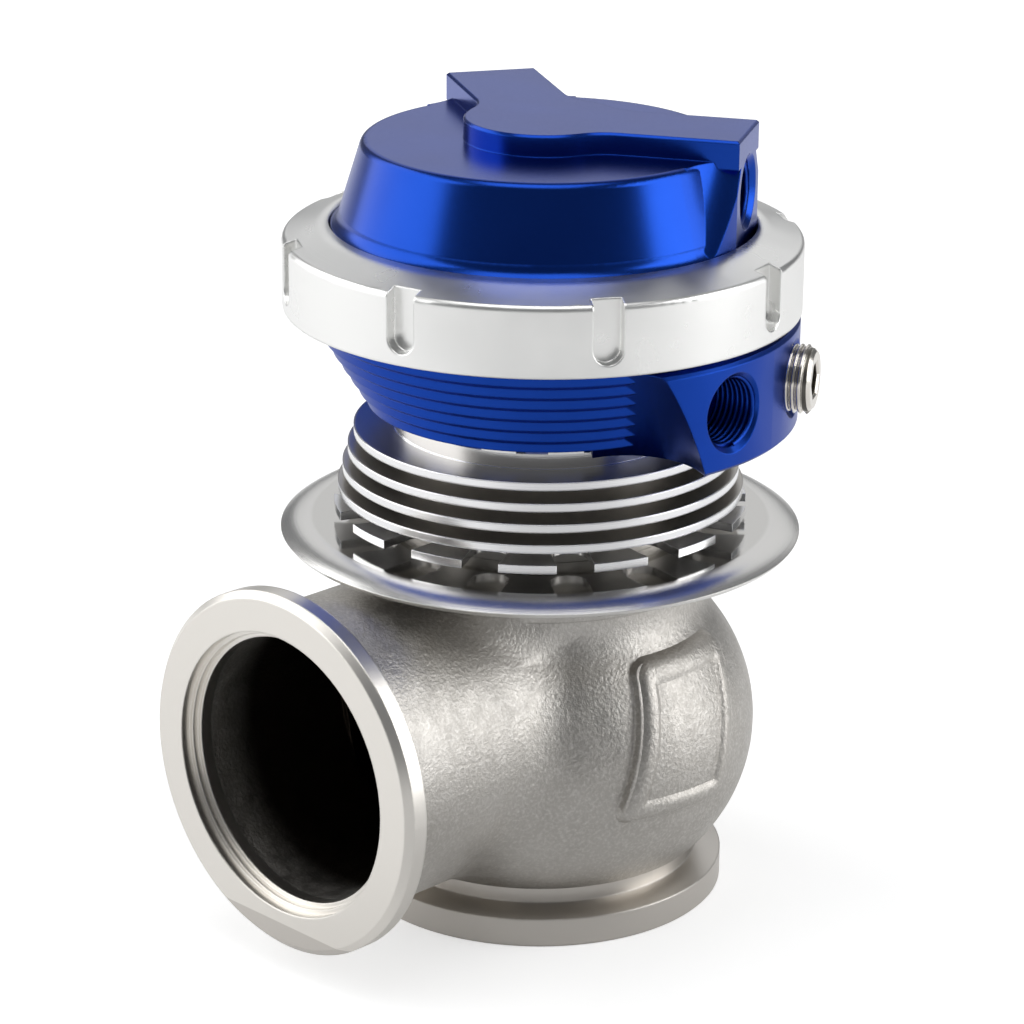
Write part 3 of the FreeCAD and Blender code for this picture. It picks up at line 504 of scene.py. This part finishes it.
def turned_aluminium():
    """Bright rims and neck; rougher flat faces and hub between the fins, painted darker as shade; rims
    rounded off.
    """
    material, tree, shader = new_material("polished_aluminium", (0.90, 0.90, 0.91), 0.16)
    bright, painted_gap_shade = (0.90, 0.90, 0.91), (0.52, 0.50, 0.47)
    polished_gloss, cut_gloss = 0.16, 0.36
    tab_edge, fin_edge = 0.00018, 0.00042
    place = object_place(tree)
    x, y, z = axes(tree, place)
    radius = length_node(tree, x, y)
    facing = tree.nodes.new("ShaderNodeTexCoord").outputs["Normal"]
    upright = math_node(tree, "ABSOLUTE", axes(tree, facing)[2])
    flat = smooth_step(tree, upright, 0.75, 0.95)
    beyond_neck = smooth_step(tree, radius, hub_radius + 0.0001, hub_radius + 0.0004)
    over_tabs = smooth_step(tree, z, tab_top + 0.0003, tab_top + 0.0006)
    on_fins = math_node(tree, "MULTIPLY", beyond_neck, over_tabs)
    hub_wall = math_node(tree, "MULTIPLY", fall_off(tree, radius, hub_radius + 0.0008, hub_radius + 0.0012),
                         fall_off(tree, z, neck_foot - 0.0003, neck_foot))
    between = math_node(tree, "MAXIMUM", math_node(tree, "MULTIPLY", flat, on_fins), hub_wall)
    # Painted shade: the flat faces and the hub wall between the fins get the darker colour.
    tree.links.new(colour_mix(tree, between, bright, painted_gap_shade), shader.inputs["Base Color"])
    cut = math_node(tree, "MAXIMUM", math_node(tree, "MULTIPLY", flat, beyond_neck), between)
    tree.links.new(value_mix(tree, cut, polished_gloss, cut_gloss), shader.inputs["Roughness"])
    rounded = round_edges(tree, value_mix(tree, on_fins, tab_edge, fin_edge))
    tree.links.new(bump(tree, tool_marks(tree, place, 5000.0, 1.0), 0.000012, 0.6, rounded),
                   shader.inputs["Normal"])
    return material


dress("heatsink", turned_aluminium())


# Screws, bushing, retainer and seals inside the heatsink: steel screws down to the casting,
# a bronze bushing that guides the stem, and a rubber seal and O-ring held by their neighbours.
dress("heatsink_screws", plain_steel)
dress("stem_bushing", bronze)
dress("seal_retainer", plain_steel)


def moulded_rubber():
    """Black rubber with the matt skin of its mould."""
    material, tree, shader = new_material("black_rubber", (0.025, 0.025, 0.026), 0.6, 0.0)
    skin = noise(tree, object_place(tree), 900.0, 3.0, 0.6)
    tree.links.new(value_mix(tree, skin, 0.5, 0.7), shader.inputs["Roughness"])
    tree.links.new(bump(tree, skin, 0.00005, 0.5), shader.inputs["Normal"])
    return material


rubber = moulded_rubber()
dress("housing_o_ring", rubber)
dress("stem_seal", rubber)


# Lower housing: turned aluminium with a stepped bowl and two milled bosses, anodised a deep satin
# blue. It is held by countersunk screws, and its open port is tapped with a pipe thread.
def anodised_blue(name, roughness, rings_per_metre, depth):
    """Blue dye over turned aluminium, with the thin sheen of its sealed skin."""
    material, tree, shader = new_material(name, (0.009, 0.052, 0.36), roughness)
    dye_deep, dye_pale = (0.008, 0.048, 0.34), (0.010, 0.056, 0.38)
    shader.inputs["Coat Weight"].default_value = 0.03
    shader.inputs["Coat Roughness"].default_value = roughness * 0.8
    place = object_place(tree)
    dye = smooth_step(tree, noise(tree, place, 60.0, 2.0, 0.5), 0.3, 0.7)
    tree.links.new(colour_mix(tree, dye, dye_deep, dye_pale), shader.inputs["Base Color"])
    pores = noise(tree, place, 2500.0, 2.0, 0.5)
    tree.links.new(value_mix(tree, pores, roughness * 0.9, roughness * 1.15), shader.inputs["Roughness"])
    marks = tool_marks(tree, place, rings_per_metre)
    tree.links.new(bump(tree, marks, depth, 0.6, round_edges(tree, 0.0003)), shader.inputs["Normal"])
    return material


dress("lower_housing", anodised_blue("housing_blue", 0.3, 6000.0, 0.000008))
dress("housing_screws", plain_steel)


def geometry_tree(name, sizes):
    """A Geometry Nodes tree with the named sizes and a material as its inputs."""
    tree = bpy.data.node_groups.new(name, "GeometryNodeTree")
    tree.interface.new_socket(name="Geometry", in_out="OUTPUT", socket_type="NodeSocketGeometry")
    for label in sizes:
        tree.interface.new_socket(name=label, in_out="INPUT", socket_type="NodeSocketFloat")
    tree.interface.new_socket(name="Material", in_out="INPUT", socket_type="NodeSocketMaterial")
    return tree, tree.nodes.new("NodeGroupInput"), tree.nodes.new("NodeGroupOutput")


def helix(tree, radius, rise, turns, steps):
    """A helix about Z, with so many steps to a turn."""
    node = tree.nodes.new("GeometryNodeCurveSpiral")
    node.inputs["Resolution"].default_value = steps
    tree.links.new(turns, node.inputs["Rotations"])
    tree.links.new(radius, node.inputs["Start Radius"])
    tree.links.new(radius, node.inputs["End Radius"])
    tree.links.new(rise, node.inputs["Height"])
    return node.outputs["Curve"]


def sweep(tree, path, section, start, end):
    """End a tree with a section run along a path, capped, and given its material."""
    run = tree.nodes.new("GeometryNodeCurveToMesh")
    run.inputs["Fill Caps"].default_value = True
    tree.links.new(path, run.inputs["Curve"])
    tree.links.new(section, run.inputs["Profile Curve"])
    realise = tree.nodes.new("GeometryNodeRealizeInstances")
    tree.links.new(run.outputs["Mesh"], realise.inputs["Geometry"])
    paint = tree.nodes.new("GeometryNodeSetMaterial")
    tree.links.new(realise.outputs["Geometry"], paint.inputs["Geometry"])
    tree.links.new(start.outputs["Material"], paint.inputs["Material"])
    tree.links.new(paint.outputs["Geometry"], end.inputs["Geometry"])


def ridge_tree():
    """A V-shaped ridge wound as a helix about Z, for threads; named inputs in metres."""
    tree, start, end = geometry_tree("thread_ridge", ("Radius", "Pitch", "Length", "Depth"))
    turns = math_node(tree, "DIVIDE", start.outputs["Length"], start.outputs["Pitch"])
    upright = tree.nodes.new("GeometryNodeSetCurveNormal")
    upright.mode = "Z_UP"
    tree.links.new(helix(tree, start.outputs["Radius"], start.outputs["Length"], turns, 40),
                   upright.inputs["Curve"])
    section = tree.nodes.new("GeometryNodeCurvePrimitiveQuadrilateral")
    section.mode = "KITE"
    half_pitch = math_node(tree, "MULTIPLY", start.outputs["Pitch"], 0.5)
    tree.links.new(math_node(tree, "MULTIPLY", start.outputs["Depth"], 2.0), section.inputs["Width"])
    tree.links.new(half_pitch, section.inputs["Bottom Height"])
    tree.links.new(half_pitch, section.inputs["Top Height"])
    sweep(tree, upright.outputs["Curve"], section.outputs["Curve"], start, end)
    return tree


def grown(name, tree, **values):
    """Run a geometry tree with named inputs and give the result as a plain mesh."""
    seed = bpy.data.objects.new(name, bpy.data.meshes.new(name))
    bpy.context.scene.collection.objects.link(seed)
    maker = seed.modifiers.new("maker", "NODES")
    maker.node_group = tree
    for socket in tree.interface.items_tree:
        if socket.in_out == "INPUT" and socket.name in values:
            maker[socket.identifier] = values[socket.name]
    seed.update_tag()
    seen = seed.evaluated_get(bpy.context.evaluated_depsgraph_get())
    mesh = bpy.data.meshes.new_from_object(seen)
    bpy.data.objects.remove(seed)
    return mesh


def along_port(angle, height, reach):
    """From a piece made about Z to a port's axis; Z ends up pointing out of the port."""
    outwards = Matrix.Rotation(math.radians(angle), 4, "Z") @ Matrix.Rotation(math.pi / 2, 4, "Y")
    return Matrix.Translation((0, 0, height)) @ outwards @ Matrix.Translation((0, 0, reach))


thread_ridge = ridge_tree()
port_level, port_angle, port_thread_foot = 0.0834, 0.5, 0.0296
port_radius, port_thread_length = 0.0052, 0.0075
port_thread_depth, port_pitch = 0.0005, 0.00094
blue_thread = anodised_blue("thread_blue", 0.3, 6000.0, 0.00001)
mesh = grown("boost_port_thread", thread_ridge, Radius=port_radius, Pitch=port_pitch,
             Length=port_thread_length, Depth=port_thread_depth, Material=blue_thread)
place_piece("boost_port_thread", mesh, "wastegate",
            along_port(port_angle, port_level, port_thread_foot))


# Port plugs: nickel-plated steel with a pipe thread and a hexagon socket. The one beside the
# open port is only part screwed in, so its thread shows.
def nickel_plate():
    """Warm plating with an uneven gloss."""
    material, tree, shader = new_material("nickel", (0.74, 0.70, 0.64), 0.16)
    warm, pale = (0.70, 0.66, 0.60), (0.80, 0.77, 0.72)
    clouds = noise(tree, object_place(tree), 300.0, 3.0, 0.6)
    tree.links.new(value_mix(tree, smooth_step(tree, clouds, 0.3, 0.7), 0.12, 0.22),
                   shader.inputs["Roughness"])
    tree.links.new(colour_mix(tree, clouds, warm, pale), shader.inputs["Base Color"])
    tree.links.new(bump(tree, clouds, 0.00002, 0.4, round_edges(tree, 0.0002)), shader.inputs["Normal"])
    return material


nickel = nickel_plate()
thread_root_shade = ground_metal("thread_root_painted_shade", (0.16, 0.15, 0.13), 0.4)


def socket_plug(name, radius, length, hex_width, hex_depth, chamfer):
    """A plug's core and socket, made about Z with its outer end at zero; its wall is painted dark,
    as shade in the roots of the thread."""
    flats, around = 6, 48
    hex_corner = hex_width / math.sqrt(3)
    spokes = [2 * math.pi * i / around for i in range(around)]

    def hex_reach(angle):
        local = (angle + math.pi / flats) % (2 * math.pi / flats) - math.pi / flats
        return hex_corner * math.cos(math.pi / flats) / math.cos(local)

    points = []
    for height, reach in ((-length, radius - chamfer), (-length + chamfer, radius), (-chamfer, radius),
                          (0.0, radius - chamfer)):
        points += [(reach * math.cos(a), reach * math.sin(a), height) for a in spokes]
    lead = chamfer * 0.6
    for height, grow in ((0.0, lead), (-lead, 0.0), (-hex_depth, 0.0)):
        for a in spokes:
            reach = hex_reach(a) + grow
            points.append((reach * math.cos(a), reach * math.sin(a), height))
    rows = len(points) // around
    faces = []
    for row in range(rows - 1):
        for i in range(around):
            j = (i + 1) % around
            faces.append((row * around + i, row * around + j, (row + 1) * around + j, (row + 1) * around + i))
    faces.append(tuple(reversed(range(around))))
    faces.append(tuple(range((rows - 1) * around, rows * around)))
    mesh = bpy.data.meshes.new(name)
    mesh.from_pydata(points, [], faces)
    mesh.materials.append(nickel)
    mesh.materials.append(thread_root_shade)
    # Painted shade: the core's wall, at the thread's roots, gets the dark material.
    for wall in mesh.polygons[around:2 * around]:
        wall.material_index = 1
    mesh.shade_smooth()
    mesh.set_sharp_from_angle(angle=math.radians(30))
    return mesh


def joined(name, meshes):
    """Several meshes as one, with the materials of the first."""
    shape = bmesh.new()
    for mesh in meshes:
        shape.from_mesh(mesh)
    whole = bpy.data.meshes.new(name)
    shape.to_mesh(whole)
    shape.free()
    for material in meshes[0].materials:
        whole.materials.append(material)
    return whole


def threaded_plug(name, radius, length, hex_width, hex_depth, chamfer):
    """A plug with its thread, about Z with its outer end at zero."""
    root = radius - port_thread_depth
    core = socket_plug(name, root, length, hex_width, hex_depth, chamfer)
    ridge = grown(name, thread_ridge, Radius=root, Pitch=port_pitch, Length=length - 2.0 * port_pitch,
                  Depth=port_thread_depth, Material=nickel)
    ridge.transform(Matrix.Translation((0, 0, 1.1 * port_pitch - length)))
    return joined(name, [core, ridge])


plug_radius, plug_length, plug_chamfer = 0.00515, 0.0085, 0.0005
plug_hex, plug_hex_depth = 0.00476, 0.005
plug_angle, plug_reach = 29.5, 0.0413
mesh = threaded_plug("boost_port_plug_threaded", plug_radius, plug_length, plug_hex, plug_hex_depth,
                     plug_chamfer)
plug = place_piece("boost_port_plug_threaded", mesh, "wastegate",
                   along_port(plug_angle, port_level, plug_reach))
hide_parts("boost_port_plug")
dress("rear_port_plugs", nickel)
dress("cap_port_plug", nickel)


# Diaphragm: moulded rubber with a bead that the cap clamps on the housing's rim, and a disc held
# between two plates.
def turned_piece(name, outline, material):
    """A closed outline of radius and height, turned about the valve axis."""
    around = 96
    spokes = [2 * math.pi * i / around for i in range(around)]
    points = [(radius * math.cos(a), radius * math.sin(a), height)
              for radius, height in outline for a in spokes]
    rows = len(outline)
    faces = [(row * around + i, row * around + (i + 1) % around,
              (row + 1) % rows * around + (i + 1) % around, (row + 1) % rows * around + i)
             for row in range(rows) for i in range(around)]
    mesh = bpy.data.meshes.new(name)
    mesh.from_pydata(points, [], faces)
    mesh.materials.append(material)
    mesh.shade_smooth()
    mesh.set_sharp_from_angle(angle=math.radians(40))
    return mesh


def between_points(first, last, steps):
    """Points along a straight run, without its last one."""
    return [(first[0] + (last[0] - first[0]) * i / steps, first[1] + (last[1] - first[1]) * i / steps)
            for i in range(steps)]


stem_hole = 0.00305
disc_edge, disc_low = 0.022, 0.084
rubber_thick = 0.001
bead_inner, bead_outer = 0.0296, 0.0344
bead_low, bead_high = 0.0966, 0.0979
bend_steps, web_steps = 2, 16
disc_foot = (disc_edge, disc_low)
disc_rim = (disc_edge, disc_low + rubber_thick)
web_foot = (disc_edge + rubber_thick, disc_low + rubber_thick / 2)
outline = ([(stem_hole, disc_low)]
           + between_points(disc_foot, web_foot, bend_steps)
           + between_points(web_foot, (bead_inner, bead_low), web_steps)
           + [(bead_inner, bead_low), (bead_outer, bead_low), (bead_outer, bead_high)]
           + between_points((bead_inner - rubber_thick, bead_high), disc_rim, web_steps)
           + [disc_rim, (stem_hole, disc_low + rubber_thick)])
rolled = place_piece("rolled_diaphragm", turned_piece("rolled_diaphragm", outline, rubber), None)
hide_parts("diaphragm")
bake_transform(rolled)


# Plate, piston cup, washer and nut: bare turned aluminium under and over the diaphragm, clamped
# on the stem's end by a steel washer and nut.
bare_aluminium = ground_metal("bare_aluminium", (0.75, 0.75, 0.76), 0.3)
dress("lower_plate", bare_aluminium)
dress("piston_cup", bare_aluminium)
dress("stem_washer", plain_steel)
dress("stem_nut", plain_steel)


# Springs: three nested coils of round spring steel wire, which stand in the piston cup and press
# against the cap to hold the valve shut.
def coil_tree():
    """A round wire wound as a helix about Z; named inputs in metres."""
    tree, start, end = geometry_tree("coil", ("Radius", "Wire radius", "Rise", "Turns"))
    section = tree.nodes.new("GeometryNodeCurvePrimitiveCircle")
    section.inputs["Resolution"].default_value = 20
    tree.links.new(start.outputs["Wire radius"], section.inputs["Radius"])
    path = helix(tree, start.outputs["Radius"], start.outputs["Rise"], start.outputs["Turns"], 48)
    sweep(tree, path, section.outputs["Curve"], start, end)
    return tree


wire_coil = coil_tree()
spring_steel = ground_metal("spring_steel", (0.22, 0.23, 0.26), 0.38)
spring_low, spring_high = 0.087, 0.113
spring_turns = 4.25
for name, radius, wire in (("outer_spring", 0.0198, 0.003), ("middle_spring", 0.0154, 0.0026),
                           ("inner_spring", 0.0110, 0.0022)):
    mesh = grown(name + "_coil", wire_coil, **{"Radius": radius, "Wire radius": wire / 2,
                                               "Turns": spring_turns,
                                               "Rise": spring_high - spring_low - wire,
                                               "Material": spring_steel})
    mesh.transform(Matrix.Translation((0, 0, spring_low + wire / 2)))
    mesh.shade_smooth()
    mesh.set_sharp_from_angle(angle=math.radians(50))
    coil = place_piece(name + "_coil", mesh, "wastegate")
    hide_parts(name)
    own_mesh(coil)


# Cap: turned and milled aluminium, anodised the same blue as the housing. Its walls are cut fine,
# and its open port is tapped for a hose fitting.
dress("cap", anodised_blue("cap_blue", 0.24, 5000.0, 0.000004))
cap_port_level, cap_port_angle, cap_thread_foot = 0.1108, 30.0, 0.0246
cap_port_radius, cap_thread_length = 0.00485, 0.0048
mesh = grown("cap_port_thread", thread_ridge, Radius=cap_port_radius, Pitch=port_pitch,
             Length=cap_thread_length, Depth=port_thread_depth, Material=blue_thread)
place_piece("cap_port_thread", mesh, "cap_assembly",
            along_port(cap_port_angle, cap_port_level, cap_thread_foot))


# Slip ring: a thin ring of white plastic between the collar's lip and the cap's flange, so that
# the collar can be tightened without turning the cap.
def slip_plastic():
    """White plastic with a faint moulded skin."""
    material, tree, shader = new_material("white_plastic", (0.86, 0.85, 0.82), 0.5, 0.0)
    skin = noise(tree, object_place(tree), 700.0, 2.0, 0.5)
    tree.links.new(value_mix(tree, skin, 0.42, 0.58), shader.inputs["Roughness"])
    tree.links.new(bump(tree, skin, 0.00002, 0.5), shader.inputs["Normal"])
    return material


dress("slip_ring", slip_plastic())


# Locking collar: turned aluminium, clear anodised to a satin, with round-footed spanner slots. It
# screws on the housing's rim and clamps the cap with its lip.
lip_round_end, wall_start = 0.0335, 0.0350


def clear_anodised():
    """Satin aluminium; the lip's inner edge is rounded far more than the other edges."""
    material, tree, shader = new_material("clear_anodised", (0.90, 0.90, 0.885), 0.3)
    lip_edge_radius, other_edge_radius = 0.0026, 0.00045
    place = object_place(tree)
    x, y = axes(tree, place)[:2]
    outwards = smooth_step(tree, length_node(tree, x, y), lip_round_end, wall_start)
    clouds = smooth_step(tree, noise(tree, place, 120.0, 3.0, 0.5), 0.3, 0.7)
    tree.links.new(value_mix(tree, clouds, 0.27, 0.34), shader.inputs["Roughness"])
    rounded = round_edges(tree, value_mix(tree, outwards, lip_edge_radius, other_edge_radius), 8)
    tree.links.new(bump(tree, tool_marks(tree, place, 4500.0, 1.0), 0.00002, 0.6, rounded),
                   shader.inputs["Normal"])
    return material


dress("locking_collar", clear_anodised())
